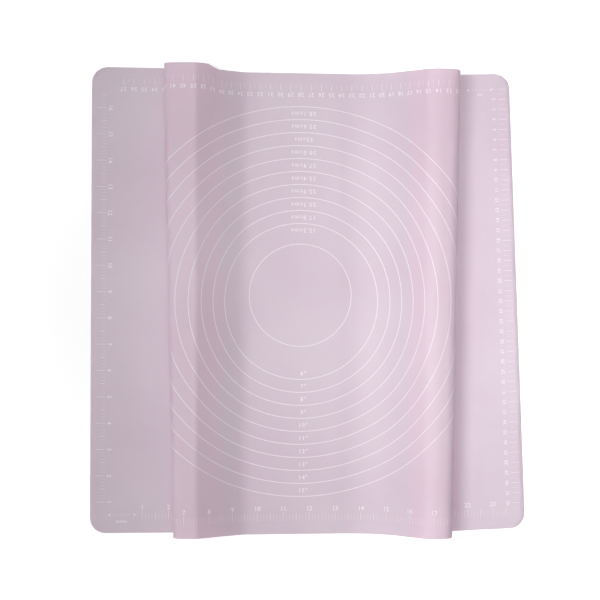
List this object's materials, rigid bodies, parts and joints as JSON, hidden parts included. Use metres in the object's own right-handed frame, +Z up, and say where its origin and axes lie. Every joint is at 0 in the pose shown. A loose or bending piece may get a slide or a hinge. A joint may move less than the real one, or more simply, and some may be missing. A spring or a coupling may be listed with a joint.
{
  "type": "silicone baking mat",
  "caption": "Flat silicone pastry mat printed with measuring rings and edge rulers, laid down with two soft front-to-back pleats.",
  "frame": {"origin": "on the worktop, under the middle of the sheet, on the underside of the flat stretch between the pleats", "axes": "+Z up from the worktop, +Y to the back edge with the centimetre ruler, +X to the right"},
  "size_m": [0.4264, 0.4527, 0.0405],
  "materials": {
    "silicone": "matt translucent silicone, dusty pink",
    "print": "white silicone screen print"
  },
  "bodies": {
    "root": {"mat_sheet": "silicone", "ring_inner": "print", "ring_06in": "print", "ring_07in": "print", "ring_08in": "print", "ring_09in": "print", "ring_10in": "print", "ring_11in": "print", "ring_12in": "print", "ring_13in": "print", "ring_14in": "print", "ring_15in": "print", "ruler_front_inches": "print", "ruler_back_centimetres": "print", "ruler_left_inches": "print", "ruler_right_centimetres": "print"}
  },
  "joints": []
}
